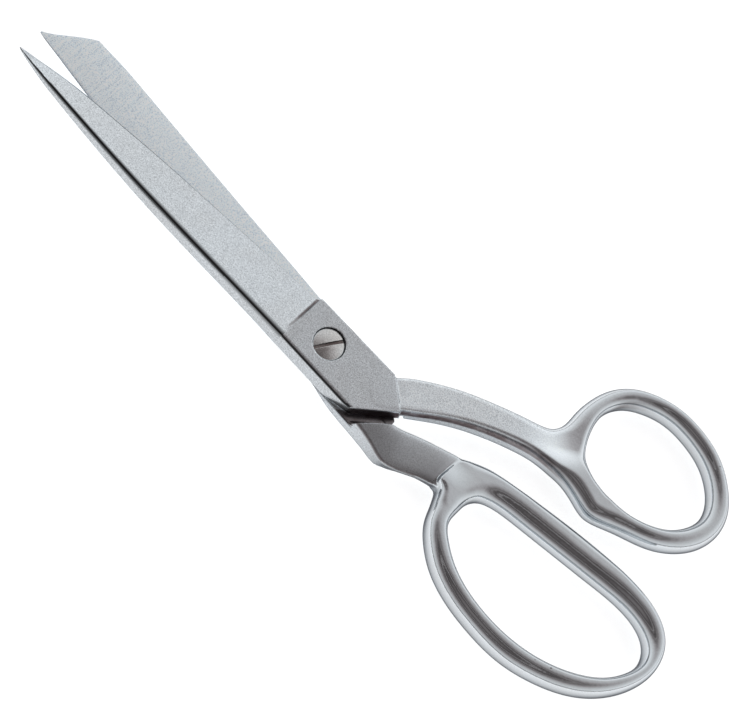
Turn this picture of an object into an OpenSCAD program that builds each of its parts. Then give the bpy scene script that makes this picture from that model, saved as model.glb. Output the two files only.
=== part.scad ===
// Bent-handle fabric shears, 205 mm long, lying flat.
// Millimetres, +Z up. Origin on the pivot axis at the resting plane.
// +X points to the blade tips, +Y to the side of the finger bow's far limb.
// The two forgings meet at the joint plane, half way up the thickness.

/* [Blades] */

// Distance from the pivot axis to the point of the upper blade
blade_reach = 98.8; // [85:0.1:110]
// Thickness of each forging where they cross at the pivot
block_t = 3.95; // [3.6:0.05:4.4]
// Air gap between the two inner faces at the pivot
joint_gap = 0.1; // [0.06:0.01:0.2]
// Depth of the hollow ground into each blade's inner face
hollow = 0.18; // [0:0.02:0.3]

/* [Handles] */

// Half thickness of both bows where they are thickest
bow_c = 3.9; // [3.2:0.05:3.95]
// Squareness of the bow section, lower is squarer
bow_e = 0.86; // [0.7:0.02:1]

/* [Pivot] */

// Diameter of the slotted screw head
head_d = 7.8; // [7:0.1:8.6]
// Thickness of the screw head
head_h = 1.9; // [1.6:0.05:2.2]
// Diameter of the screw's bearing shoulder
shoulder_d = 5.6; // [4.8:0.1:6]
// Radial running clearance of the shoulder in the upper blade
bearing_clear = 0.03; // [0.01:0.01:0.08]
// Outside diameter of the screw's thread
thread_d = 4.2; // [3.6:0.1:4.4]
// Outside diameter of the round lock nut
nut_d = 8.6; // [7.6:0.1:9.4]
// Thickness of the lock nut
nut_h = 1.9; // [1.6:0.05:2.1]

/* [Hidden] */
$fn = 96;

zi_low = block_t;                 // inner face of the lower forging
zi_up = block_t + joint_gap;      // inner face of the upper forging
zj = block_t + joint_gap / 2;     // joint plane
top = zi_up + block_t;            // top of the upper block
head_seat = top - head_h - 0.12;  // underside of the screw head

// ---- curves -------------------------------------------------------------
function lerp(a, b, t) = a + (b - a) * t;
function cr(a, b, c, d, t) =
  0.5 * (2 * b + (c - a) * t + (2 * a - 5 * b + 4 * c - d) * t * t
         + (3 * b - a - 3 * c + d) * t * t * t);
// closed and open Catmull-Rom chains through a table of rows
function closed_chain(T, k) = let (n = len(T))
  [for (i = [0:n - 1]) for (j = [0:k - 1])
    cr(T[(i + n - 1) % n], T[i], T[(i + 1) % n], T[(i + 2) % n], j / k)];
function open_chain(T, k) = let (n = len(T))
  concat([for (i = [0:n - 2]) for (j = [0:k - 1])
    cr(i == 0 ? 2 * T[0] - T[1] : T[i - 1], T[i], T[i + 1],
       i == n - 2 ? 2 * T[n - 1] - T[n - 2] : T[i + 2], j / k)], [T[n - 1]]);
function spow(v, e) = sign(v) * pow(abs(v), e);

// ---- skins --------------------------------------------------------------
// A tube through rings of m points; closed rings of rings when loop is true.
// The rings turn clockwise seen along the chain, or the other way with flop.
module skin(rings, loop = false, flop = false) {
  n = len(rings);
  m = len(rings[0]);
  pts = [for (r = rings) each r];
  last = loop ? n - 1 : n - 2;
  side = [for (i = [0:last]) for (j = [0:m - 1])
    let (a = i * m + j, b = i * m + (j + 1) % m,
         c = ((i + 1) % n) * m + (j + 1) % m, d = ((i + 1) % n) * m + j)
    each [[a, c, b], [a, d, c]]];
  caps = loop ? [] : [
    each [for (j = [1:m - 2]) [0, j, j + 1]],
    each [for (j = [1:m - 2]) let (o = (n - 1) * m) [o, o + j + 1, o + j]]];
  all = concat(side, caps);
  polyhedron(points = pts, faces = flop ? [for (f = all) [f[0], f[2], f[1]]] : all,
             convexity = 8);
}

// Bow: each row is outer x, outer y, inner x, inner y, half thickness.
module bow(T, k, m, flop) {
  rows = closed_chain(T, k);
  skin([for (r = rows)
    [for (j = [0:m - 1]) let (a = 360 * j / m,
        u = 0.5 + 0.5 * spow(cos(a), bow_e), w = spow(sin(a), bow_e))
      [lerp(r[2], r[0], u), lerp(r[3], r[1], u), zj + r[4] * bow_c / 3.9 * w]]], true, flop);
}

// Shank: each row is left x, left y, right x, right y, then the heights of
// the left top edge, the right top edge and the underside, all from the
// joint plane. The section is a rounded box.
module shank(T, k, m, e) {
  rows = open_chain(T, k);
  skin([for (r = rows)
    [for (j = [0:m - 1]) let (a = 360 * j / m,
        u = 0.5 + 0.5 * spow(cos(a), e), w = 0.5 + 0.5 * spow(sin(a), e),
        zt = lerp(r[5], r[4], u))
      [lerp(r[2], r[0], u), lerp(r[3], r[1], u), zj + lerp(r[6], zt, w)]]], false, true);
}

// Block between two outlines with the same number of points.
module block(lo, hi, za, zb) {
  n = len(lo);
  polyhedron(
    points = concat([for (p = lo) [p[0], p[1], za]],
                    [for (p = hi) [p[0], p[1], zb]]),
    faces = concat(
      [[for (i = [0:n - 1]) i]],
      [[for (i = [n - 1:-1:0]) n + i]],
      [for (i = [0:n - 1]) let (j = (i + 1) % n) each
        [[i, n + i, j], [j, n + i, n + j]]]),
    convexity = 6);
}

// ---- tables (mm) --------------------------------------------------------
// Thumb bow of the upper forging
THUMB = [
  [-50.9, -38.0, -55.6, -39.3, 3.80], [-51.3, -43.5, -56.1, -42.8, 3.75],
  [-54.0, -48.8, -58.4, -46.6, 3.70], [-59.9, -53.4, -62.9, -49.8, 3.70],
  [-66.5, -56.0, -67.6, -51.5, 3.70], [-73.7, -56.5, -73.3, -51.8, 3.70],
  [-81.6, -55.0, -79.5, -50.7, 3.70], [-88.2, -51.3, -84.5, -48.0, 3.75],
  [-92.7, -46.6, -87.6, -44.6, 3.80], [-94.5, -41.2, -88.8, -41.0, 3.85],
  [-93.6, -35.5, -88.0, -36.9, 3.90], [-90.2, -30.2, -85.3, -32.7, 3.90],
  [-84.8, -26.0, -81.5, -29.8, 3.90], [-77.5, -22.8, -76.4, -27.6, 3.90],
  [-69.8, -19.8, -70.5, -26.7, 3.90], [-62.8, -20.8, -64.4, -27.1, 3.90],
  [-56.0, -24.0, -59.8, -29.8, 3.90], [-51.6, -30.8, -57.0, -34.0, 3.85]];

// Finger bow of the lower forging
FINGER = [
  [-42.7, 2.6, -48.7, 3.6, 3.90], [-43.9, 8.2, -49.3, 7.8, 3.90],
  [-47.7, 13.9, -52.1, 10.7, 3.85], [-53.8, 18.3, -56.4, 13.3, 3.80],
  [-61.2, 20.7, -62.1, 15.3, 3.80], [-70.5, 21.7, -70.0, 16.3, 3.80],
  [-80.0, 21.2, -78.5, 15.8, 3.80], [-89.4, 18.3, -86.8, 13.6, 3.80],
  [-97.4, 13.7, -94.0, 9.9, 3.80], [-103.2, 7.5, -99.4, 5.2, 3.80],
  [-106.5, 0.2, -102.5, -0.4, 3.80], [-106.8, -6.3, -102.9, -4.5, 3.80],
  [-104.2, -12.0, -100.8, -8.0, 3.85], [-98.6, -15.6, -97.0, -9.9, 3.90],
  [-90.0, -16.9, -90.8, -10.4, 3.90], [-80.5, -16.3, -81.5, -9.1, 3.90],
  [-70.5, -14.8, -71.0, -7.3, 3.90], [-60.5, -12.8, -61.0, -5.6, 3.90],
  [-51.5, -10.5, -53.6, -4.4, 3.90], [-45.0, -7.3, -50.3, -2.3, 3.90],
  [-42.4, -2.6, -48.9, 0.8, 3.90]];

// Shank of the upper forging
SHANK_UP = [
  [-20.4, -0.5, -15.4, -6.8, 3.95, 3.95, -2.0],
  [-24.6, -4.1, -19.0, -10.2, 3.95, 3.80, -2.4],
  [-29.4, -8.3, -24.4, -14.6, 3.90, 3.60, -2.9],
  [-34.4, -11.8, -30.2, -18.4, 3.85, 3.55, -3.3],
  [-40.2, -15.2, -36.6, -21.6, 3.80, 3.60, -3.6],
  [-46.0, -18.0, -42.8, -24.8, 3.80, 3.70, -3.7],
  [-51.6, -20.0, -48.2, -27.4, 3.75, 3.70, -3.7],
  [-57.0, -20.8, -54.6, -28.4, 3.60, 3.60, -3.5],
  [-62.5, -21.4, -61.4, -26.2, 3.00, 3.00, -3.0]];

// Shank of the lower forging
SHANK_LOW = [
  [-12.0, 8.6, -17.0, -1.8, 1.6, 3.0, -3.95],
  [-20.6, 8.9, -22.4, -0.9, 1.6, 3.3, -3.95],
  [-26.0, 9.3, -26.0, -0.7, 1.5, 3.4, -3.90],
  [-30.2, 8.1, -30.2, -1.8, 1.4, 3.3, -3.80],
  [-34.4, 5.6, -34.3, -3.4, 1.6, 3.1, -3.70],
  [-38.4, 3.9, -38.6, -5.3, 2.2, 3.0, -3.70],
  [-40.4, 3.4, -41.2, -6.4, 3.6, 3.7, -3.70],
  [-44.0, 3.2, -46.6, -8.8, 3.8, 3.8, -3.70],
  [-48.6, -4.4, -53.6, -11.2, 3.4, 3.4, -3.40]];

// Upper blade: x, cutting edge y, ridge y, spine y, spine height, edge height
UP = [
  [9.6, -6.8, 7.4, 8.5, 3.70, 1.30], [20.0, -5.9, 7.5, 8.5, 3.50, 1.20],
  [35.0, -4.4, 7.7, 8.8, 3.25, 1.10], [50.0, -2.9, 7.8, 8.9, 2.95, 1.00],
  [60.0, -1.8, 7.7, 8.7, 2.65, 0.90], [70.0, -0.5, 7.4, 8.3, 2.35, 0.80],
  [77.0, 0.4, 7.1, 7.9, 2.10, 0.70], [83.0, 1.3, 6.8, 7.5, 1.80, 0.60],
  [89.0, 2.5, 6.4, 7.0, 1.45, 0.50], [94.0, 3.7, 5.9, 6.3, 1.05, 0.40],
  [97.2, 4.4, 5.5, 5.7, 0.75, 0.30], [98.8, 4.85, 5.1, 5.2, 0.45, 0.25]];

// Lower blade: x, cutting edge y, ridge y, spine y, spine height, edge height
LOW = [
  [9.6, 8.1, -7.2, -8.3, 3.70, 1.30], [20.0, 7.2, -7.7, -8.8, 3.50, 1.20],
  [35.0, 5.7, -8.4, -9.4, 3.25, 1.10], [50.0, 4.1, -9.1, -10.1, 2.95, 1.00],
  [60.0, 3.0, -9.7, -10.6, 2.65, 0.95], [70.0, 1.8, -10.3, -11.1, 2.40, 0.90],
  [80.0, 0.6, -10.7, -11.5, 2.15, 0.80], [86.5, -0.1, -10.8, -11.4, 2.00, 0.75],
  [88.4, -0.3, -10.6, -11.1, 1.95, 0.72], [92.0, -0.7, -7.6, -7.9, 1.50, 0.65],
  [96.0, -1.1, -3.7, -3.9, 0.95, 0.55], [98.4, -1.5, -1.9, -2.0, 0.60, 0.50]];

function reach(x) = x <= 9.6 ? x : 9.6 + (x - 9.6) * (blade_reach - 9.6) / 89.2;
// one section of a blade, s = +1 above the joint plane, -1 below it
function blade_section(r, s, zi) = let (x = reach(r[0]), w = r[3] - r[1],
    d = sign(w), lip = 0.45, h = hollow * min(1, abs(w) / 8))
  [[x, r[1], zi], [x, r[1] + 0.3 * w, zi + s * h],
   [x, r[1] + 0.7 * w, zi + s * h], [x, r[3], zi + s * 0.05],
   [x, r[2], zi + s * (r[4] - min(0.3, r[4] * 0.2))],
   [x, r[2] - d * min(0.7, abs(w) * 0.1), zi + s * r[4]],
   [x, r[1] + d * min(lip, abs(w) * 0.25), zi + s * r[5]]];

// block outlines, low side and high side, counter-clockwise
UP_IN = [[8.9, -7.7], [8.9, 8.5], [-7.5, 8.4], [-12.0, 7.9], [-15.2, 6.4],
         [-20.6, 1.0], [-25.4, -3.6], [-23.0, -9.0], [-17.8, -9.2], [-15.2, -8.1]];
UP_OUT = [[8.9, -6.4], [8.9, 7.4], [-7.5, 7.4], [-11.0, 7.35], [-14.0, 7.1],
          [-19.2, 2.0], [-24.0, -2.6], [-22.0, -8.6], [-17.6, -8.6], [-15.2, -7.0]];
LOW_IN = [[8.9, -8.3], [8.9, 8.1], [-4.0, 8.3], [-11.0, 9.2], [-22.0, 9.4],
          [-26.4, 9.5], [-27.6, -0.9], [-23.4, -0.6], [-14.6, -7.9], [-6.0, -8.3]];
LOW_OUT = [[8.9, -7.2], [8.9, 6.3], [-4.0, 6.5], [-11.0, 7.6], [-22.0, 8.1],
           [-25.8, 8.4], [-26.8, 0.2], [-23.0, 0.4], [-14.2, -6.7], [-6.0, -7.2]];

// ---- upper forging: pointed blade, block, shank and thumb bow ------------
module upper_blade() color([0.80, 0.81, 0.82]) difference() {
  resize([0, 0, 0]) union() {
    skin([[[8.5, -7.6, zi_up], [8.5, -2.0, zi_up], [8.5, 4.0, zi_up],
           [8.5, 8.4, zi_up], [8.5, 7.4, top - 0.3], [8.5, 6.8, top - 0.04],
           [8.5, -6.3, top - 0.04]],
          for (r = open_chain(UP, 3)) blade_section(r, 1, zi_up)]);
    block(UP_IN, UP_OUT, zi_up, top + 0.4);
    shank(SHANK_UP, 4, 24, 0.56);
    bow(THUMB, 4, 24, false);
  }
  // flat top of the block
  translate([-60, -70, top]) cube([80, 90, 4]);
  // inner face over the lower forging, ending at the shoulder of the shank
  translate([0, 0, -3]) linear_extrude(zi_up + 3)
    polygon([[-17.0, -9.8], [-26.6, -1.6], [-26.6, 14], [14, 14], [14, -14], [-13.2, -14]]);
  cylinder(h = 20, d = shoulder_d + 2 * bearing_clear);
  translate([0, 0, head_seat - 0.04]) cylinder(h = 10, d = head_d + 0.3);
}

// ---- lower forging: blunt blade, block, shank and finger bow -------------
module lower_blade() color([0.74, 0.76, 0.78]) difference() {
  resize([0, 0, 0]) union() {
    skin([[[8.5, 8.0, zi_low], [8.5, 3.0, zi_low], [8.5, -3.0, zi_low],
           [8.5, -8.2, zi_low], [8.5, -7.2, 0.3], [8.5, -6.6, 0.04], [8.5, 6.9, 0.04]],
          for (r = open_chain(LOW, 3)) blade_section(r, -1, zi_low)]);
    block(LOW_OUT, LOW_IN, -0.4, zi_low);
    shank(SHANK_LOW, 4, 24, 0.5);
    bow(FINGER, 4, 24, true);
  }
  // flat underside
  translate([-60, -70, -4]) cube([80, 90, 4]);
  // inner face under the upper forging, ending at the raised shoulder
  translate([0, 0, zi_low]) linear_extrude(10)
    polygon([[-14.6, 14], [-14.6, 10.4], [-16.6, 8.4], [-26.0, -0.6], [-26.0, -14], [14, -14], [14, 14]]);
  translate([0, 0, -1]) cylinder(h = 20, d = thread_d + 0.2);
  translate([0, 0, -1]) cylinder(h = nut_h + 1.08, d = nut_d + 0.2);
}

// ---- slotted pivot screw: head, bearing shoulder and threaded end --------
module pivot_screw() color([0.70, 0.70, 0.70]) difference() {
  union() {
    rotate_extrude() polygon([[0, zi_low], [shoulder_d / 2, zi_low],
      [shoulder_d / 2, head_seat], [head_d / 2, head_seat],
      [head_d / 2, head_seat + head_h - 0.25], [head_d / 2 - 0.25, head_seat + head_h],
      [0, head_seat + head_h]]);
    rotate_extrude() polygon([[0, 0.15], [thread_d / 2 - 0.3, 0.15],
      [thread_d / 2, 0.45], [thread_d / 2, zi_low], [0, zi_low]]);
  }
  rotate([0, 0, 61]) translate([-10, -0.5, head_seat + head_h - 0.9]) cube([20, 1, 3]);
}

// ---- round lock nut sunk in the underside --------------------------------
module pivot_nut() color([0.62, 0.62, 0.62]) difference() {
  translate([0, 0, 0.08]) cylinder(h = nut_h - 0.08, d = nut_d);
  translate([0, 0, -1]) cylinder(h = 6, d = thread_d);
  for (s = [-1, 1]) translate([s * nut_d / 2 - 0.9, -0.6, -1]) cube([1.8, 1.2, 1.9]);
}

lower_blade();
upper_blade();
pivot_screw();
pivot_nut();
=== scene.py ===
import bpy
import math
import numpy as np
from mathutils import Matrix, Vector


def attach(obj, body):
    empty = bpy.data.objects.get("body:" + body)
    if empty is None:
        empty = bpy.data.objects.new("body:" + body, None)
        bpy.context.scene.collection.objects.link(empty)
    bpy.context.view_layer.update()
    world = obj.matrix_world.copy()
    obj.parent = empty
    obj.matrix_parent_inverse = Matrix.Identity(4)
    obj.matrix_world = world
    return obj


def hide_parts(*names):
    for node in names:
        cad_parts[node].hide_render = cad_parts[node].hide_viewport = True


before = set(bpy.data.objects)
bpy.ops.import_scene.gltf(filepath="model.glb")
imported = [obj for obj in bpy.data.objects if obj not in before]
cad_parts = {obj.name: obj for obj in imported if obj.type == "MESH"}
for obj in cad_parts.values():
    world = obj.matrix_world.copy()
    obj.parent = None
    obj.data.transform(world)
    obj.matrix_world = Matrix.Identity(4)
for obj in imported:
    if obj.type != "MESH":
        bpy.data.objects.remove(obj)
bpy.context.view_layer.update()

# Lengths below are millimetres in the CAD frame; objects are written in metres.
ZI_LOW, ZI_UP, ZJ, TOP = 3.95, 4.05, 4.0, 8.0
STEP = 0.30

# ------------------------------------------------------------------ tables
# outline of the upper handle: x, y, rounding width; then the finger hole
OUT_UP = np.array([
    [-12.6, -3.6, 1.5], [-15.6, -6.7, 1.5], [-19.0, -10.2, 1.5], [-24.4, -14.6, 1.6],
    [-30.2, -18.4, 1.8], [-36.6, -21.8, 2.1], [-42.8, -24.8, 2.4], [-47.0, -26.8, 2.6],
    [-49.8, -29.0, 2.8], [-51.0, -32.2, 2.8], [-50.8, -36.6, 2.8], [-50.9, -40.4, 2.8],
    [-51.9, -45.0, 2.8], [-54.3, -49.2, 2.8], [-59.7, -53.4, 2.8], [-66.5, -56.0, 2.8],
    [-73.7, -56.5, 2.8], [-81.6, -55.0, 2.8], [-88.2, -51.3, 2.8], [-92.7, -46.6, 2.9],
    [-94.5, -41.2, 2.9], [-93.6, -35.5, 2.9], [-90.2, -30.2, 2.9], [-84.8, -26.0, 2.8],
    [-77.5, -22.7, 2.7], [-72.6, -20.3, 2.7], [-69.4, -19.5, 2.7], [-65.6, -20.1, 2.7],
    [-61.2, -20.9, 2.6], [-56.6, -20.8, 2.4], [-51.6, -20.0, 2.1], [-46.0, -18.0, 1.9],
    [-40.2, -15.2, 1.8], [-34.4, -11.7, 1.6], [-29.4, -7.9, 1.3], [-24.6, -3.6, 1.2],
    [-20.6, 0.0, 1.2], [-17.4, 2.4, 1.5], [-13.6, 0.6, 1.5]])
HOLE_UP = np.array([
    [-55.6, -39.3, 2.7], [-56.1, -42.8, 2.7], [-58.4, -46.6, 2.7], [-62.9, -49.8, 2.7],
    [-67.6, -51.5, 2.7], [-73.3, -51.8, 2.7], [-79.5, -50.7, 2.7], [-84.5, -48.0, 2.7],
    [-87.6, -44.6, 2.8], [-88.8, -41.0, 2.8], [-88.0, -36.9, 2.8], [-85.3, -32.7, 2.8],
    [-81.5, -29.8, 2.7], [-76.4, -27.7, 2.7], [-70.5, -26.9, 2.7], [-64.4, -27.4, 2.8],
    [-59.8, -30.0, 3.0], [-57.0, -34.2, 2.9]])
# outline of the finger bow, from the crease on the shank round and back
OUT_LOW = np.array([
    [-39.6, 0.0, 0.9], [-39.7, 2.1, 0.9], [-40.2, 2.9, 1.0], [-41.2, 3.4, 1.5],
    [-42.4, 5.2, 2.2], [-43.4, 7.4, 2.8], [-44.9, 10.6, 2.8], [-48.0, 14.2, 2.8],
    [-53.8, 18.2, 2.8], [-61.2, 20.7, 2.8], [-70.5, 21.7, 2.8], [-80.0, 21.2, 2.8],
    [-89.4, 18.3, 2.8], [-97.4, 13.7, 2.7], [-103.2, 7.5, 2.7], [-106.5, 0.2, 2.6],
    [-106.8, -6.3, 2.7], [-104.2, -12.0, 2.9], [-98.6, -15.6, 3.1], [-90.0, -16.9, 3.2],
    [-80.5, -16.3, 3.4], [-70.5, -14.8, 3.4], [-60.5, -12.8, 3.3], [-52.0, -10.8, 3.2],
    [-45.8, -9.0, 3.0], [-42.8, -7.6, 2.4], [-40.9, -6.3, 1.6], [-39.9, -4.9, 1.1],
    [-39.6, -2.6, 0.9]])
HOLE_LOW = np.array([
    [-48.7, 3.6, 3.4], [-49.3, 7.8, 3.4], [-52.1, 10.7, 3.4], [-56.4, 13.3, 3.4],
    [-62.1, 15.3, 3.4], [-70.0, 16.3, 3.4], [-78.5, 15.8, 3.4], [-86.8, 13.6, 3.4],
    [-94.0, 9.9, 3.4], [-99.4, 5.2, 3.4], [-102.5, -0.4, 3.4], [-102.9, -4.5, 3.4],
    [-100.8, -8.0, 3.4], [-97.0, -9.9, 3.4], [-90.8, -10.4, 3.4], [-81.5, -9.1, 3.4],
    [-71.0, -7.3, 3.5], [-61.0, -5.6, 3.5], [-53.8, -4.1, 3.4], [-50.2, -2.1, 3.4],
    [-48.8, 0.8, 3.4]])
# upper edges of the lower shank, left (+Y) and right, then its heights and the
# slant of its left wall against x
PANEL_L = np.array([
    [-1.5, 5.0], [-6.0, 6.2], [-10.5, 7.1], [-15.0, 7.45], [-19.3, 7.8], [-23.4, 8.5],
    [-27.0, 9.3], [-30.0, 8.95], [-33.4, 7.3], [-36.6, 5.5], [-39.8, 4.15], [-43.4, 2.8], [-47.0, 1.6]])
PANEL_R = np.array([
    [-3.0, -1.8], [-7.5, -1.7], [-12.5, -1.2], [-17.0, 0.2], [-20.8, 1.3], [-24.5, 1.2],
    [-28.5, -0.6], [-32.5, -2.5], [-36.5, -4.2], [-40.1, -5.6], [-43.4, -5.9], [-47.0, -5.0]])
PANEL_X = [-46.0, -43.0, -41.0, -38.6, -34.4, -30.2, -26.0, -20.6, -15.0, -1.5]
PANEL_ZL = [1.8, 1.8, 1.8, 1.8, 1.6, 1.5, 1.5, 1.6, 1.6, 1.6]
PANEL_ZR = [1.8, 2.3, 2.65, 2.9, 3.1, 3.3, 3.4, 3.3, 3.1, 3.0]
PANEL_ZB = [-3.7, -3.7, -3.7, -3.7, -3.7, -3.8, -3.9, -3.95, -3.95, -3.95]
LEAN_X = [-46.0, -42.0, -39.0, -36.0, -32.0, -29.0, -27.2, -25.5, -23.4, -19.3, -15.0, 0.0]
LEAN = [-0.20, -0.20, -0.26, -0.29, -0.28, -0.18, -0.03, 0.03, 0.08, 0.16, 0.19, 0.19]
# x, cutting edge y, ridge y, spine y, spine height, edge height
UP = np.array([
    [9.6, -6.8, 7.4, 8.5, 3.70, 1.30], [20.0, -5.9, 7.5, 8.5, 3.50, 1.20],
    [35.0, -4.4, 7.7, 8.8, 3.25, 1.10], [50.0, -2.9, 7.8, 8.9, 2.95, 1.00],
    [60.0, -1.8, 7.7, 8.7, 2.65, 0.90], [70.0, -0.5, 7.4, 8.3, 2.35, 0.80],
    [77.0, 0.4, 7.1, 7.9, 2.10, 0.70], [83.0, 1.3, 6.8, 7.5, 1.80, 0.60],
    [89.0, 2.5, 6.4, 7.0, 1.45, 0.50], [94.0, 3.7, 5.9, 6.3, 1.05, 0.40],
    [97.2, 4.4, 5.5, 5.7, 0.75, 0.30], [98.8, 4.85, 5.1, 5.2, 0.45, 0.25]])
LOW = np.array([
    [9.6, 8.1, -7.2, -8.3, 3.70, 1.30], [20.0, 7.2, -7.7, -8.8, 3.50, 1.20],
    [35.0, 5.7, -8.4, -9.4, 3.25, 1.10], [50.0, 4.1, -9.1, -10.1, 2.95, 1.00],
    [60.0, 3.0, -9.7, -10.6, 2.65, 0.95], [70.0, 1.8, -10.3, -11.1, 2.40, 0.90],
    [80.0, 0.6, -10.7, -11.5, 2.15, 0.80], [86.5, -0.1, -10.8, -11.4, 2.00, 0.75],
    [88.4, -0.3, -10.6, -11.1, 1.95, 0.72], [92.0, -0.7, -7.6, -7.9, 1.50, 0.65],
    [96.0, -1.1, -3.7, -3.9, 0.95, 0.55], [98.4, -1.5, -1.9, -2.0, 0.60, 0.50]])


# ------------------------------------------------------- smooth curves
class Spline:
    """Uniform cubic spline through rows, C2, closed or natural."""

    def __init__(self, rows, closed):
        self.n, self.closed = len(rows), closed
        n = self.n
        A = np.zeros((n, n))
        B = np.zeros((n, rows.shape[1]))
        for i in range(n):
            if closed:
                A[i, i] += 4; A[i, (i - 1) % n] += 1; A[i, (i + 1) % n] += 1
                B[i] = 3 * (rows[(i + 1) % n] - rows[(i - 1) % n])
            elif i == 0:
                A[i, 0], A[i, 1] = 2, 1; B[i] = 3 * (rows[1] - rows[0])
            elif i == n - 1:
                A[i, i], A[i, i - 1] = 2, 1; B[i] = 3 * (rows[i] - rows[i - 1])
            else:
                A[i, i - 1], A[i, i], A[i, i + 1] = 1, 4, 1
                B[i] = 3 * (rows[i + 1] - rows[i - 1])
        D = np.linalg.solve(A, B)
        self.segs = n if closed else n - 1
        i0 = np.arange(self.segs)
        i1 = (i0 + 1) % n
        y0, y1, d0, d1 = rows[i0], rows[i1], D[i0], D[i1]
        self.c = np.stack([y0, d0, 3 * (y1 - y0) - 2 * d0 - d1,
                           2 * (y0 - y1) + d0 + d1], 1)

    def at(self, t, order=0):
        t = np.mod(t, self.segs) if self.closed else np.clip(t, 0, self.segs)
        i = np.minimum(t.astype(np.int64), self.segs - 1)
        u = (t - i)[..., None]
        c = self.c[i]
        if order == 0:
            return c[..., 0, :] + u * (c[..., 1, :] + u * (c[..., 2, :] + u * c[..., 3, :]))
        if order == 1:
            return c[..., 1, :] + u * (2 * c[..., 2, :] + 3 * u * c[..., 3, :])
        return 2 * c[..., 2, :] + 6 * u * c[..., 3, :]

    def nearest(self, x, y, t=None):
        """Parameter of the nearest point of the first two columns."""
        if t is None:
            ts = np.linspace(0, self.segs, self.segs * 14, endpoint=not self.closed)
            c = self.at(ts)[:, :2]
            shape = x.shape
            xf, yf = x.ravel(), y.ravel()
            t = np.empty(len(xf))
            for a in range(0, len(xf), 20000):
                d = ((xf[a:a + 20000, None] - c[None, :, 0]) ** 2
                     + (yf[a:a + 20000, None] - c[None, :, 1]) ** 2)
                t[a:a + 20000] = ts[d.argmin(1)]
            t = t.reshape(shape)
        for _ in range(4):
            c, d, e = self.at(t)[..., :2], self.at(t, 1)[..., :2], self.at(t, 2)[..., :2]
            rx, ry = c[..., 0] - x, c[..., 1] - y
            g = rx * d[..., 0] + ry * d[..., 1]
            s = d[..., 0] ** 2 + d[..., 1] ** 2
            h = s + rx * e[..., 0] + ry * e[..., 1]
            h = np.where(h > 0.3 * s, h, s)
            t = t - np.clip(g / h, -0.25, 0.25)
            t = np.mod(t, self.segs) if self.closed else np.clip(t, 0, self.segs)
        return t


def smin(a, b, k):
    h = np.maximum(k - np.abs(a - b), 0) / k
    return np.minimum(a, b) - h * h * k * 0.25


def smax(a, b, k):
    return -smin(-a, -b, k)


def plane(points, inside):
    """Half space through three points, negative at the inside point."""
    p, q, r = (np.array(v, float) for v in points)
    n = np.cross(q - p, r - p)
    n /= np.linalg.norm(n)
    if np.dot(np.array(inside, float) - p, n) > 0:
        n = -n
    return n, float(np.dot(n, p))


def planes(x, y, z, listed, k):
    f = None
    for n, d in listed:
        g = n[0] * x + n[1] * y + n[2] * z - d
        f = g if f is None else smax(f, g, k)
    return f


def even_loop(rows, gap):
    """Closed cubic through unevenly spaced rows, resampled at an even spacing."""
    n = len(rows)
    nx = np.roll(rows, -1, 0)
    h = np.maximum(np.linalg.norm(nx[:, :2] - rows[:, :2], axis=1), 0.2) ** 0.75
    A = np.zeros((n, n))
    B = np.zeros((n, rows.shape[1]))
    for i in range(n):
        a, b = h[i - 1], h[i]
        A[i, i - 1] += b
        A[i, i] += 2 * (a + b)
        A[i, (i + 1) % n] += a
        B[i] = 3 * (b * (rows[i] - rows[i - 1]) / a + a * (nx[i] - rows[i]) / b)
    D = np.linalg.solve(A, B)
    out = []
    for i in range(n):
        d0, d1 = D[i] * h[i], D[(i + 1) % n] * h[i]
        for u in np.linspace(0, 1, 40, endpoint=False):
            out.append(rows[i] * (1 - 3 * u * u + 2 * u ** 3) + nx[i] * (3 * u * u - 2 * u ** 3)
                       + d0 * (u - 2 * u * u + u ** 3) + d1 * (u ** 3 - u * u))
    out = np.array(out + [out[0]])
    s = np.concatenate([[0], np.cumsum(np.linalg.norm(np.diff(out[:, :2], axis=0), axis=1))])
    m = int(round(s[-1] / gap))
    at = np.linspace(0, s[-1], m, endpoint=False)
    return np.column_stack([np.interp(at, s, out[:, c]) for c in range(out.shape[1])])


ROLL = 0.20


class Loop:
    """Closed outline: signed plan distance (negative on the metal side), rounding width."""

    def __init__(self, rows, other, hole, gap=1.6):
        p, q = even_loop(rows, gap), even_loop(other, 0.6)
        far = np.sqrt(((p[:, None, :2] - q[None, :, :2]) ** 2).sum(2).min(1))
        x, y = p[:, 0], p[:, 1]
        area = 0.5 * np.sum(x * np.roll(y, -1) - y * np.roll(x, -1))
        self.sign = (1.0 if area > 0 else -1.0) * (-1.0 if hole else 1.0)
        # a limb's roll is broad on the side that faces +Y and tight on the other
        d = np.roll(p[:, :2], -1, 0) - np.roll(p[:, :2], 1, 0)
        out_y = -d[:, 0] / np.linalg.norm(d, axis=1) * self.sign
        share = 0.49 + ROLL * out_y
        wide = np.clip((9.0 - far) / 2.0, 0, 1)
        lim = far * share * wide + far * 0.49 * (1 - wide)
        p[:, 2] = np.minimum(p[:, 2] * (1 + 1.15 * ROLL * out_y * wide * 2), lim)
        self.s = Spline(p, True)

    def pre(self, x, y, t=None):
        t = self.s.nearest(x, y, t)
        v, g = self.s.at(t), self.s.at(t, 1)
        n = np.hypot(g[..., 0], g[..., 1])
        side = (g[..., 0] * (y - v[..., 1]) - g[..., 1] * (x - v[..., 0])) / n
        return t, -side * self.sign, v[..., 2]


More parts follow.
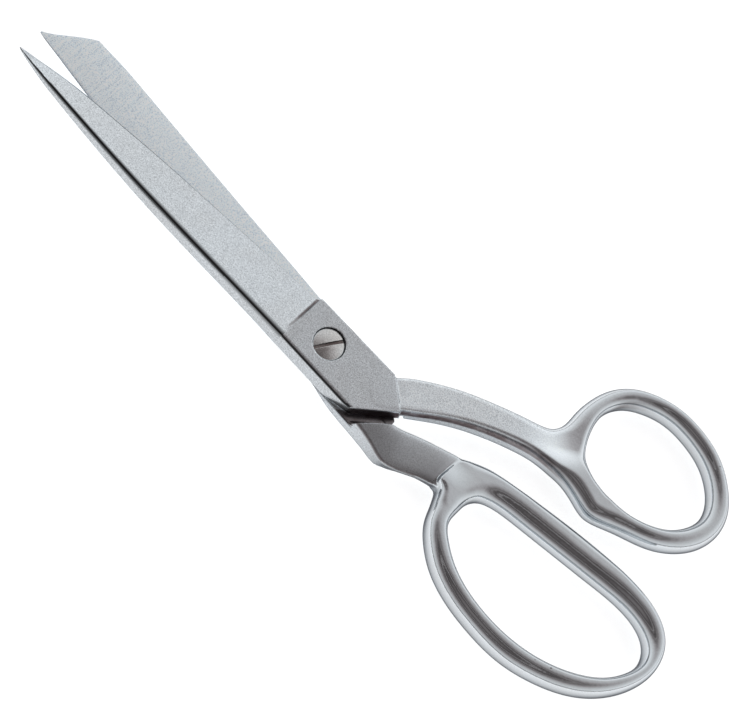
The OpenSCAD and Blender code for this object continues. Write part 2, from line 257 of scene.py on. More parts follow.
class Shank:
    """Strip between two edges in plan, with its own top, sloping across, and underside."""

    def __init__(self, left, right):
        self.l, self.r = Spline(left, False), Spline(right, False)

    @staticmethod
    def off(sp, x, y, t):
        t = sp.nearest(x, y, t)
        v, g = sp.at(t), sp.at(t, 1)
        n = np.hypot(g[..., 0], g[..., 1])
        return t, (g[..., 0] * (y - v[..., 1]) - g[..., 1] * (x - v[..., 0])) / n

    def pre(self, x, y, tl=None, tr=None):
        tl, a = self.off(self.l, x, y, tl)
        tr, b = self.off(self.r, x, y, tr)
        DL, DR = -a, b                                # positive outside each edge
        W = np.clip(-(DL + DR) / 2, 1.0, 6.0)
        u = np.clip(-DL / np.maximum(-(DL + DR), 0.5), 0, 1)
        zl, zr = ramp(x, PANEL_X, PANEL_ZL), ramp(x, PANEL_X, PANEL_ZR)
        return {"tl": tl, "tr": tr, "gL": DL, "gR": DR, "gW": W,
                "gt": zr - (zr - zl) * (1 - u) ** 1.7, "gz": ZJ + zl,
                "gb": ramp(x, PANEL_X, PANEL_ZB), "gl": ramp(x, LEAN_X, LEAN),
                "gE": np.maximum(-44.5 - x, x + 1.5)}


def rim(Do, Ro, Dh, Rh):
    """Share of the roll used up at a point, and the width of that roll."""
    uo, uh = 1 + Do / Ro, 1 + Dh / Rh
    return np.maximum(np.maximum(uo, uh), 0), np.where(uo > uh, Ro, Rh)


def pillow(u, W, zt, zb, p, z):
    """Solid over a plan shape: full height inside, rounded to nothing at its edge."""
    zm, c = ZJ + (zt + zb) / 2, (zt - zb) / 2
    v = np.abs(z - zm) / c
    r = (u ** p + v ** p) ** (1 / p)
    return (r - 1) * np.minimum(W, c)


def ramp(x, xs, ys):
    return np.interp(x, xs, ys)


# ------------------------------------------------------- the two forgings
HEAD_R, BORE_R, SEAT = 4.05, 2.83, 5.94
A_OUT, A_HOLE = Loop(OUT_UP, HOLE_UP, False), Loop(HOLE_UP, OUT_UP, True)
B_OUT, B_HOLE = Loop(OUT_LOW, HOLE_LOW, False, 0.8), Loop(HOLE_LOW, OUT_LOW, True)
B_PANEL = Shank(PANEL_L, PANEL_R)

IN_A = (0, 0, 6)
A_PLANES = [
    (np.array([0, 0, 1.0]), TOP), (np.array([0, 0, -1.0]), -ZI_UP),
    plane([(8.9, 0, 4), (8.9, 1, 4), (8.82, 0, 8)], IN_A),
    plane([(8.9, 8.5, 4.05), (-8, 8.45, 4.05), (0, 7.45, 8.0)], IN_A),
    plane([(8.9, -7.65, 4.05), (-15.2, -8.15, 4.05), (8.9, -6.45, 8.0)], IN_A),
    plane([(-15.0, 6.6, 4.05), (-25.4, -3.6, 4.05), (-14.1, 7.05, 8.0)], IN_A),
    plane([(-7.0, 8.45, 4.05), (-13.9, 6.8, 4.05), (-13.9, 7.25, 8.0)], IN_A),
    plane([(-15.3, -7.2, 8.0), (-23.0, -1.2, 8.0), (-15.9, -7.9, 4.05)], IN_A),
    plane([(8.9, 7.02, 8.0), (-13.9, 6.87, 8.0), (0, 7.82, 7.58)], IN_A)]
IN_B = (0, 0, 2)
B_PLANES = [
    (np.array([0, 0, 1.0]), ZI_LOW), (np.array([0, 0, -1.0]), 0.0),
    plane([(8.9, 0, 0), (8.9, 1, 0), (8.9, 0, 4)], IN_B),
    plane([(8.9, 8.05, 3.95), (-4, 8.25, 3.95), (8.9, 6.2, 0)], IN_B),
    plane([(8.9, -8.3, 3.95), (-14.6, -7.95, 3.95), (8.9, -7.2, 0)], IN_B),
    plane([(-14.6, -7.9, 3.95), (-23.6, -0.5, 3.95), (-14.1, -6.9, 0)], IN_B),
    plane([(-23.5, 0, 0), (-23.5, 1, 0), (-23.5, 0, 4)], IN_B)]


def smooth01(x):
    x = np.clip(x, 0, 1)
    return x * x * (3 - 2 * x)


def bump(x, y, cx, cy, sx, sy, sy2, ang):
    c, n = math.cos(ang), math.sin(ang)
    u, v = (x - cx) * c + (y - cy) * n, -(x - cx) * n + (y - cy) * c
    return np.exp(-(u / sx) ** 2 - (v / np.where(v > 0, sy, sy2)) ** 2)


def pre_a(x, y, seed=None):
    s = seed or {}
    to, Do, Ro = A_OUT.pre(x, y, s.get("to"))
    th, Dh, Rh = A_HOLE.pre(x, y, s.get("th"))
    u, W = rim(Do, Ro, Dh, Rh)
    zt = ramp(x, [-60, -46, -34, -26, -20, -14], [3.86, 3.84, 3.82, 3.80, 3.80, 3.72])
    yl = ramp(x, [-51.6, -46.0, -40.2, -34.4, -29.4, -24.6, -20.6], [-20.0, -18.0, -15.2, -11.8, -8.3, -4.1, -0.5])
    zt = zt + 0.055 * np.minimum(y - yl + 1.5, 0) * smooth01((x + 58) / 10) * smooth01((-17 - x) / 5)
    zt = zt - 1.30 * bump(x, y, -54.8, -26.9, 6.0, 3.4, 11.0, 0.6)
    zb = ramp(x, [-46, -40, -34, -29, -24, -18], [-3.78, -3.6, -3.3, -2.9, -2.4, -2.0])
    return {"to": to, "th": th, "u": u, "W": W, "zt": zt, "zb": zb,
            "p": ramp(x, [-64, -52, -40, -28], [2.2, 2.4, 3.2, 3.8]),
            "x": x, "y": y}


def val_a(q, z, cuts=True):
    x, y = q["x"], q["y"]
    f = pillow(q["u"], q["W"], q["zt"], q["zb"], q["p"], z)
    f = smin(f, planes(x, y, z, A_PLANES, 0.22), 0.3)
    # inner face over the lower forging, up to the shoulder of the shank
    n, d = SHOULDER_A
    side = n[0] * x + n[1] * y - d
    f = smax(f, smin(ZI_UP - z, -side, 1.2), 0.25)
    if cuts:
        r = np.hypot(x, y)
        f = smax(f, -np.maximum(r - HEAD_R, SEAT - z), 0.22)
        f = np.maximum(f, BORE_R - r)
    return f


def line(p, q, inside):
    n = np.array([q[1] - p[1], p[0] - q[0]], float)
    n /= np.linalg.norm(n)
    if n @ (np.array(inside, float) - p) > 0:
        n = -n
    return n, float(n @ np.array(p, float))


SHOULDER_A = line((-17.0, -9.8), (-26.6, -1.6), (0, 0))
SHOULDER_B = line((-15.6, 9.4), (-26.0, -0.6), (0, 0))
# the block ends under the raised shoulder
B_PLANES.append((np.array([*SHOULDER_B[0], 0.0]), SHOULDER_B[1] + 0.4))


def pre_b(x, y, seed=None):
    s = seed or {}
    to, Do, Ro = B_OUT.pre(x, y, s.get("to"))
    th, Dh, Rh = B_HOLE.pre(x, y, s.get("th"))
    g = B_PANEL.pre(x, y, s.get("tl"), s.get("tr"))
    zt = 3.85 - 0.80 * smooth01((x + 48) / 8) * smooth01((1.5 - y) / 6)
    zb = 0 * x - 3.82
    u, W = rim(Do, Ro, Dh, Rh)
    return {"to": to, "th": th, "u": u, "W": W, "zt": zt, "zb": zb,
            "p": ramp(x, [-60, -50, -42], [2.2, 2.4, 2.8]), "x": x, "y": y, **g}


def val_b(q, z):
    x, y = q["x"], q["y"]
    f = pillow(q["u"], q["W"], q["zt"], q["zb"], q["p"], z)
    wall = q["gL"] - q["gl"] * np.clip(q["gz"] - z, 0, 6)
    D = smax(smax(wall, q["gR"], 0.3), q["gE"], 0.4)
    g = pillow(np.maximum(1 + D / q["gW"], 0), q["gW"], q["gt"], q["gb"], 9.0, z)
    g = smin(g, planes(x, y, z, B_PLANES, 0.22), 0.4)
    na, da = SHOULDER_B
    side = na[0] * x + na[1] * y - da
    g = smax(g, smin(z - ZI_LOW, -side, 1.0), 0.2)
    g = smax(g, -z, 0.3)
    f = smin(f, g, 0.4)
    r = np.hypot(x, y)
    f = np.maximum(f, -np.maximum(r - 4.4, z - 1.98))
    return np.maximum(f, 2.2 - r)


# ------------------------------------------------------- dual contouring
def contour(pre, val, lo, hi, h, hz=None):
    """Closed quad mesh of val = 0. Vertices sit on the surface, and on its edges."""
    hz = hz or h
    n = [max(3, int(math.ceil((hi[i] - lo[i]) / (h if i < 2 else hz))) + 1) for i in range(3)]
    ax = [lo[i] + (h if i < 2 else hz) * np.arange(n[i]) + 1.7e-4 * (i + 1) for i in range(3)]
    X, Y = np.meshgrid(ax[0], ax[1], indexing="ij")
    q = pre(X, Y)
    F = np.stack([val(q, np.full_like(X, z)) for z in ax[2]], -1)
    IN = F < 0
    seeds = {k: v for k, v in q.items() if k.startswith("t")}
    P, N, C, E = [], [], [], []
    cells = (n[0] - 1, n[1] - 1, n[2] - 1)
    for a in range(3):
        s0 = [slice(None)] * 3
        s1 = [slice(None)] * 3
        s0[a], s1[a] = slice(0, -1), slice(1, None)
        I, J, K = np.nonzero(IN[tuple(s0)] != IN[tuple(s1)])
        if not len(I):
            continue
        ijk = np.stack([I, J, K], 1)
        nxt = ijk.copy()
        nxt[:, a] += 1
        fa, fb = F[I, J, K], F[nxt[:, 0], nxt[:, 1], nxt[:, 2]]
        base = np.stack([ax[0][I], ax[1][J], ax[2][K]], 1)
        step = hz if a == 2 else h
        sd = {k: v[I, J] for k, v in seeds.items()}
        ta, tb = np.zeros(len(I)), np.ones(len(I))
        for it in range(3):
            t = np.clip(ta + (tb - ta) * fa / (fa - fb + 1e-300), 0, 1)
            if it == 2:
                break
            p = base.copy()
            p[:, a] += t * step
            fm = val(pre(p[:, 0], p[:, 1], sd), p[:, 2])
            same = (fm < 0) == (fa < 0)
            ta, fa = np.where(same, t, ta), np.where(same, fm, fa)
            tb, fb = np.where(same, tb, t), np.where(same, fb, fm)
        p = base.copy()
        p[:, a] += t * step
        g = gradient(pre, val, p, sd)
        P.append(p); N.append(g)
        # four cells round the edge, in order
        b, c = (a + 1) % 3, (a + 2) % 3
        quad = []
        for db_, dc_ in ((0, 0), (-1, 0), (-1, -1), (0, -1)):
            cell = ijk.copy()
            cell[:, b] += db_
            cell[:, c] += dc_
            quad.append((cell[:, 0] * cells[1] + cell[:, 1]) * cells[2] + cell[:, 2])
        quad = np.stack(quad, 1)
        inside_first = IN[I, J, K]
        quad[~inside_first] = quad[~inside_first][:, ::-1]
        C.append(quad)
    P, N, C = np.concatenate(P), np.concatenate(N), np.concatenate(C)
    ids, inv = np.unique(C, return_inverse=True)
    inv = inv.reshape(C.shape)
    m = len(ids)
    cnt = np.zeros(m)
    mass = np.zeros((m, 3))
    nsum = np.zeros((m, 3))
    A = np.zeros((m, 3, 3))
    B = np.zeros((m, 3))
    nn = N[:, :, None] * N[:, None, :]
    nb_ = N * (N * P).sum(1)[:, None]
    for j in range(4):
        k = inv[:, j]
        cnt += np.bincount(k, minlength=m)
        for d in range(3):
            mass[:, d] += np.bincount(k, P[:, d], m)
            nsum[:, d] += np.bincount(k, N[:, d], m)
            B[:, d] += np.bincount(k, nb_[:, d], m)
            for e in range(3):
                A[:, d, e] += np.bincount(k, nn[:, d, e], m)
    mass /= cnt[:, None]
    lam = 0.04 * cnt
    M = A + lam[:, None, None] * np.eye(3)
    rhs = B - (A * mass[:, None, :]).sum(2)
    v = mass + np.linalg.solve(M, rhs[..., None])[..., 0]
    cell = np.stack(np.unravel_index(ids, cells), 1)
    low = np.array([ax[0][0], ax[1][0], ax[2][0]]) + cell * np.array([h, h, hz])
    v = np.clip(v, low, low + np.array([h, h, hz]))
    sharp = 1 - np.linalg.norm(nsum, axis=1) / cnt      # 0 where the surface is smooth
    seed_v = {k: s[cell[:, 0], cell[:, 1]] for k, s in seeds.items()}
    # settle smooth vertices onto the surface
    smooth = sharp < 0.02
    if smooth.any():
        w = v[smooth]
        sd = {k: s[smooth] for k, s in seed_v.items()}
        f = val(pre(w[:, 0], w[:, 1], sd), w[:, 2])
        g = gradient(pre, val, w, sd, raw=True)
        g2 = (g * g).sum(1)
        stepv = -(f / np.maximum(g2, 1e-6))[:, None] * g
        v[smooth] = w + np.clip(stepv, -h * 0.4, h * 0.4)
    return v, inv, sharp, seed_v


def gradient(pre, val, p, sd, raw=False, e=0.004):
    g = np.empty_like(p)
    for a in range(2):
        u, w = p.copy(), p.copy()
        u[:, a] += e
        w[:, a] -= e
        g[:, a] = (val(pre(u[:, 0], u[:, 1], sd), u[:, 2]) - val(pre(w[:, 0], w[:, 1], sd), w[:, 2])) / (2 * e)
    q = pre(p[:, 0], p[:, 1], sd)
    g[:, 2] = (val(q, p[:, 2] + e) - val(q, p[:, 2] - e)) / (2 * e)
    if raw:
        return g
    return g / np.maximum(np.linalg.norm(g, axis=1), 1e-9)[:, None]


def contour_mesh(pre, val, lo, hi, h, hz=None, crease=0.035):
    """(verts, quads, corner normals). Corners at an edge take their own face's side."""
    v, quads, sharp, seeds = contour(pre, val, lo, hi, h, hz)
    n = gradient(pre, val, v, seeds)
    fc = v[quads].mean(1)
    corner = n[quads]
    hard = sharp[quads] > crease
    fi, ci = np.nonzero(hard)
    if len(fi):
        vi = quads[fi, ci]
        p = v[vi] * 0.35 + fc[fi] * 0.65
        sd = {k: s[vi] for k, s in seeds.items()}
        corner[fi, ci] = gradient(pre, val, p, sd)
    return v, quads, corner


# ------------------------------------------------------- lofted blades
def blade_rings(table, s, zi, n_along):
    sp = Spline(table, False)
    # dense, evenly spaced stations
    tt = np.linspace(0, sp.segs, 900)
    xs = sp.at(tt)[:, 0]
    want = np.concatenate([[8.2], np.linspace(8.9, 10.7, 10), np.linspace(11.2, table[-1, 0], n_along)])
    rings, marks = [], None
    for X in want:
        r = sp.at(np.array([np.interp(max(X, table[0, 0]), xs, tt)]))[0]
        ye, yr, ys, hs, te = r[1], r[2], r[3], r[4], r[5]
        if X < table[0, 0]:
            pass
        w = ys - ye
        d = np.sign(w)
        aw = abs(w)
        lip = min(0.45, aw * 0.25)
        hol = (0.18 if s > 0 else 0.04) * min(1.0, aw / 8)
        rel = 0.0 if s > 0 else 0.56 * min(1.0, aw / 12)
        grow = min(1.0, max(0.0, (10.7 - X) / 1.8)) ** 3 if s > 0 else 0.0
        te, hs = te + 1.5 * grow, hs + 0.12 * grow
        fac = min(0.42, aw * 0.08)
        rd = 0.46 * fac
        pts = [(ye, zi + s * 0.055)]
        pts.append((ye + d * min(0.5, aw * 0.06), zi + s * 0.012))
        for f in (0.1, 0.2, 0.32, 0.45, 0.58, 0.7, 0.82, 0.92):
            pts.append((ye + f * w, zi + s * (hol * (1 - (2 * f - 1) ** 4) + 0.01 + rel * f * f)))
        pts.append((ys - d * min(0.15, aw * 0.1), zi + s * (0.03 + rel)))
        m0, m1 = min(0.2 + rel, hs * 0.35), hs - rd
        pts.append((ys, zi + s * m0))
        for f in (0.33, 0.66):
            pts.append((ys + (yr - ys) * f + d * 0.05 * min(1, aw / 6), zi + s * (m0 + (m1 - m0) * f)))
        pts.append((yr, zi + s * m1))
        pts.append((yr - d * fac * 0.12, zi + s * (m1 + rd * 0.22)))
        pts.append((yr - d * fac * 0.5, zi + s * (m1 + rd * 0.60)))
        pts.append((yr - d * fac * 0.88, zi + s * (m1 + rd * 0.95)))
        pts.append((yr - d * fac, zi + s * hs))
        y0, y1 = yr - d * fac, ye + d * lip
        for f in (0.08, 0.25, 0.5, 0.75, 0.92):
            pts.append((y0 + (y1 - y0) * f, zi + s * (hs + (te - hs) * f)))
        pts.append((y1, zi + s * te))
        pts.append((ye + d * 0.04 * min(1, aw), zi + s * te * 0.35))
        rings.append([(X, y, z) for y, z in pts])
    return np.array(rings)


def loft(rings):
    n, m, _ = rings.shape
    v = rings.reshape(-1, 3)
    f = []
    for i in range(n - 1):
        for j in range(m):
            a, b = i * m + j, i * m + (j + 1) % m
            f.append((a, b, b + m, a + m))
    caps = [tuple(range(m))[::-1], tuple((n - 1) * m + j for j in range(m))]
    return v, f, caps


def signed_volume(v, faces):
    t = 0.0
    for f in faces:
        for i in range(1, len(f) - 1):
            a, b, c = v[f[0]], v[f[i]], v[f[i + 1]]
            t += np.dot(a, np.cross(b, c))
    return t / 6


def make_object(name, parts, sharp_deg=28):
    """parts: list of (verts, faces, corner normals or None). One object, in metres."""
    V, Fs, base = [], [], 0
    given, corners = [], []
    for v, faces, cn in parts:
        V.append(np.asarray(v, float) * 0.001)
        for k, f in enumerate(faces):
            Fs.append(tuple(int(i) + base for i in f))
            given.append(cn is not None)
            corners.append(None if cn is None else cn[k])
        base += len(v)
    me = bpy.data.meshes.new(name)
    me.from_pydata(np.concatenate(V).tolist(), [], Fs)
    me.update()
    ob = bpy.data.objects.new(name, me)
    bpy.context.scene.collection.objects.link(ob)
    me.polygons.foreach_set("use_smooth", np.ones(len(me.polygons), bool))
    me.set_sharp_from_angle(angle=math.radians(sharp_deg))
    # the contoured parts keep their own exact normals
    auto = np.empty(len(me.loops) * 3, np.float32)
    me.corner_normals.foreach_get("vector", auto)
    auto = auto.reshape(-1, 3)
    k = 0
    starts = np.empty(len(me.polygons), np.int64)
    me.polygons.foreach_get("loop_start", starts)
    for i, c in enumerate(corners):
        if c is not None:
            auto[starts[i]:starts[i] + len(c)] = c
    me.normals_split_custom_set(auto.tolist())
    return ob


def quad_parts(v, quads, corner):
    return (v, quads, corner)


# ------------------------------------------------------- build
def build_upper():
    lo, hi = (-96.43, -58.56, -0.6), (10.0, 9.6, 8.6)
    v, q, c = contour_mesh(pre_a, val_a, lo, hi, STEP)
    bv, bf, caps = loft(blade_rings(UP, 1, ZI_UP, 110))
    bf = bf + caps
    if signed_volume(bv, bf) < 0:
        bf = [f[::-1] for f in bf]
    return make_object("upper_forging", [(v, q, c), (bv, bf, None)])


def build_lower():
    lo, hi = (-109.0, -18.5, -0.6), (10.0, 23.5, 8.6)
    v, q, c = contour_mesh(pre_b, val_b, lo, hi, STEP)
    bv, bf, caps = loft(blade_rings(LOW, -1, ZI_LOW, 110))
    bf = bf + caps
    if signed_volume(bv, bf) < 0:
        bf = [f[::-1] for f in bf]
    return make_object("lower_forging", [(v, q, c), (bv, bf, None)])


def pre_plain(x, y, seed=None):
    return {"x": x, "y": y}


SLOT = math.radians(61)


def val_screw(q, z):
    x, y = q["x"], q["y"]
    r = np.hypot(x, y)
    dome = z - (7.92 - 0.030 * r * r)
    head = smax(smax(dome, r - 3.9, 0.3), 5.98 - z, 0.12)
    body = smax(r - 2.8, 4.0 - z - 0.05, 0.1)
    body = np.maximum(body, z - 6.5)
    neck = np.maximum(smax(r - 2.1, 0.15 - z, 0.35), z - 5.0)
    f = np.minimum(np.minimum(head, body), neck)
    w = -math.sin(SLOT) * x + math.cos(SLOT) * y
    slot = smax(np.abs(w) - 0.40, 7.02 - z, 0.1)
    f = smax(f, -slot, 0.12)
    drive = smax(np.abs(w) - 0.3, z - 0.55, 0.1)
    return smax(f, -drive, 0.1)


def val_nut(q, z):
    x, y = q["x"], q["y"]
    r = np.hypot(x, y)
    f = smax(smax(r - 4.3, 0.08 - z, 0.35), z - 1.9, 0.12)
    f = np.maximum(f, 2.14 - r)
    s = smax(smax(np.abs(y) - 0.6, z - 0.9, 0.1), 3.4 - np.abs(x), 0.1)
    return smax(f, -s, 0.12)


def build_screw():
    h = 0.085
    v, q, c = contour_mesh(pre_plain, val_screw, (-4.3, -4.3, -0.2), (4.3, 4.3, 8.3), h)
    return make_object("screw", [(v, q, c)])


def build_nut():
    h = 0.1
    v, q, c = contour_mesh(pre_plain, val_nut, (-4.7, -4.7, -0.3), (4.7, 4.7, 2.3), h)
    return make_object("lock_nut", [(v, q, c)])


import time
t0 = time.time()
upper, lower = build_upper(), build_lower()
screw, nut = build_screw(), build_nut()
print("meshes built in %.1f s" % (time.time() - t0),
      {o.name: (len(o.data.vertices), len(o.data.polygons)) for o in (upper, lower, screw, nut)})

for o, body, node in ((upper, "upper", "upper_blade"), (lower, "lower", "lower_blade"),
                      (screw, "lower", "pivot_screw"), (nut, "lower", "pivot_nut")):
    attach(o, body)
    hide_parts(node)


# ------------------------------------------------------- materials
def attribute(ob, name, fn):
    """fn(points in mm, vertex normals) gives one number a vertex."""
    me = ob.data
    co = np.empty(len(me.vertices) * 3, np.float32)
    no = np.empty(len(me.vertices) * 3, np.float32)
    me.vertices.foreach_get("co", co)
    me.vertices.foreach_get("normal", no)
    at = me.attributes.new(name, "FLOAT", "POINT")
    v = fn(co.reshape(-1, 3) * 1000, no.reshape(-1, 3))
    at.data.foreach_set("value", np.ascontiguousarray(v, np.float32))


def ridge(table, s, zi):
    """1 on the bevel along a blade's ridge and on the block's ridge beside it."""
    def fn(c):
        yr = np.interp(c[:, 0], table[:, 0], table[:, 2])
        ye = np.interp(c[:, 0], table[:, 0], table[:, 1])
        w = np.minimum(0.42, 0.08 * np.abs(yr - ye))
        w = np.where(c[:, 0] < 8.8, 0.36, w)
        off = (c[:, 1] - yr) * np.sign(yr - ye)
        up = (c[:, 2] - zi) * s
        h = np.interp(c[:, 0], table[:, 0], table[:, 4])
        return np.where((off > -w * 1.12) & (up > h - 0.46 * w - 0.12) & (c[:, 0] > -14.5), 1.0, 0.0)
    return fn


ridge_up, ridge_low = ridge(UP, 1, ZI_UP), ridge(LOW, -1, ZI_LOW)
attribute(upper, "satin", lambda c, n: smooth01((c[:, 0] + 58) / 22) * (1 - ridge_up(c)))
attribute(lower, "satin", lambda c, n: np.where(c[:, 0] > -39.7, 1.0, 0.0) * smooth01((c[:, 0] + 39.8) / 6)
          * np.where((c[:, 2] > 4.2) | (c[:, 0] < -14), 0.55, 1.0) * (1 - ridge_low(c)))
attribute(lower, "grind", lambda c, n: np.where((c[:, 2] > 3.4), smooth01((c[:, 0] - 60) / 12), 0.0))
attribute(upper, "grind", lambda c, n: 0.0 * c[:, 0])
# painted light and shade: brighter flat tops of the shank, a painted highlight in the web's dish, darker +Y-facing
# walls by the block, a near-black bevel along the blade's ridge, darker steep walls round the bow
attribute(upper, "painted_light_and_shade", lambda c, n: 1.0 + 0.13 * smooth01((-16 - c[:, 0]) / 2) * smooth01((c[:, 0] + 56) / 10)
          * smooth01((n[:, 2] - 0.8) / 0.1) * (c[:, 2] < 7.93) + 0.30 * bump(c[:, 0], c[:, 1], -54.8, -25.6, 6.0, 2.6, 5.0, 0.6) * (n[:, 2] > 0.5)
          - 0.26 * (c[:, 0] > -15) * smooth01((n[:, 1] - 0.5) / 0.3) * (1 - ridge_up(c)) - 0.88 * ridge_up(c)
          - 0.20 * smooth01((-50 - c[:, 0]) / 8) * smooth01((0.75 - n[:, 2]) / 0.5))
# painted light and shade: the lower blade's upward face brighter, +Y-facing walls darker, the bow's steep walls
# darker
attribute(lower, "painted_light_and_shade", lambda c, n: 1.0 + 0.32 * (c[:, 0] > 9) * smooth01((n[:, 2] - 0.8) / 0.1)
          - 0.16 * (c[:, 0] > -39) * smooth01((n[:, 1] - 0.5) / 0.3)
          - 0.20 * (c[:, 0] < -39.7) * smooth01((0.75 - n[:, 2]) / 0.5))
attribute(upper, "matte", lambda c, n: 0.0 * c[:, 0])
attribute(upper, "cool", lambda c, n: 0.0 * c[:, 0])
attribute(lower, "cool", lambda c, n: 1.0 * (c[:, 0] > 9))
attribute(lower, "matte", lambda c, n: 0.20 * (c[:, 0] > -39.5) * (c[:, 0] < -13) * (c[:, 2] > 4.2) + 0.13 * (c[:, 0] > 9) * (n[:, 2] > 0.8))
# painted shade: a dark line across the blade just past the block's end, and brown-grey shade on the shank's side
# walls that face +Y
attribute(upper, "skin", lambda c, n: 1.0 * smooth01((1 - np.abs(c[:, 0] - 9.3) / 0.5) / 0.6) * smooth01((4.8 - c[:, 1]) / 2)
          + smooth01((n[:, 1] - 0.25) / 0.3) * np.maximum(smooth01((c[:, 2] - 4.6) / 0.8), smooth01((c[:, 0] + 23.6) / 0.8))
          * smooth01((7.6 - c[:, 2]) / 0.5) * smooth01((-13.7 - c[:, 0]) / 0.6) * smooth01((c[:, 0] + 66) / 14))
SB_N, SB_D = SHOULDER_B


def panel_edge_shade(c, n):
    """Painted shade in the corner of the lower shank's face, darkest along its left edge."""
    out = np.zeros(len(c))
    m = (c[:, 0] > -40.2) & (c[:, 0] < -16) & (c[:, 2] > 4.9) & (n[:, 2] > 0.15)
    x, y = c[m, 0].astype(float), c[m, 1].astype(float)
    a = B_PANEL.off(B_PANEL.l, x, y, None)[1]
    v = 0.80 * smooth01((1 - np.abs(a - 0.32) / 0.42) / 0.7)
    v = np.maximum(v, 0.42 * smooth01((2.6 - a) / 2.4) * smooth01((-26 - x) / 7))
    out[m] = v * smooth01((x + 40.2) / 0.4)
    return out


# painted shade: dark along the left edge of the lower shank's face, dark in the groove below the raised shoulder,
# and a faint darkening of the shank's upward faces
attribute(lower, "skin", lambda c, n: panel_edge_shade(c, n) + 0.95 * (c[:, 0] < -10) * (c[:, 0] > -28) * (c[:, 2] > 3.6) * (c[:, 2] < 4.7)
          * smooth01((1.8 - np.abs(SB_N[0] * c[:, 0] + SB_N[1] * c[:, 1] - SB_D + 1.6)) / 0.3) + smooth01((c[:, 0] + 39.7) / 0.5) * smooth01((-13.0 - c[:, 0]) / 1.0)
          * smooth01((c[:, 2] - 4.0) / 0.5) * smooth01((c[:, 1] + 3.5) / 7.0) * smooth01(n[:, 2] / 0.4) * 0.10)
for o in (screw, nut):
    attribute(o, "satin", lambda c, n: 0.6 + 0 * c[:, 0])
    attribute(o, "grind", lambda c, n: 0 * c[:, 0])
    attribute(o, "painted_light_and_shade", lambda c, n: 1.0 + 0 * c[:, 0])
    attribute(o, "matte", lambda c, n: 0 * c[:, 0])
    attribute(o, "cool", lambda c, n: 0 * c[:, 0])
    # painted shade: dark inside the slot of the screw head and a dark patch on the dome beside the slot
    attribute(o, "skin", lambda c, n: 0.45 * (c[:, 2] > 6.9) * np.exp(
        -((math.cos(SLOT) * c[:, 0] + math.sin(SLOT) * c[:, 1] - 1.1) / 1.4) ** 2
        - ((-math.sin(SLOT) * c[:, 0] + math.cos(SLOT) * c[:, 1] - 1.0) / 0.7) ** 2) + np.where((c[:, 2] > 6.5) & (c[:, 2] < 7.25) & (np.hypot(c[:, 0], c[:, 1]) < 3.7), 1.0, 0.0))


class Net:
    def __init__(self, mat):
        mat.use_nodes = True
        self.t = mat.node_tree
        self.t.nodes.clear()

    def add(self, kind, ins=None, **kw):
        n = self.t.nodes.new("ShaderNode" + kind)
        for k, v in kw.items():
            setattr(n, k, v)
        for k, v in (ins or {}).items():
            if hasattr(v, "is_output"):
                self.t.links.new(v, n.inputs[k])
            else:
                n.inputs[k].default_value = v
        return n


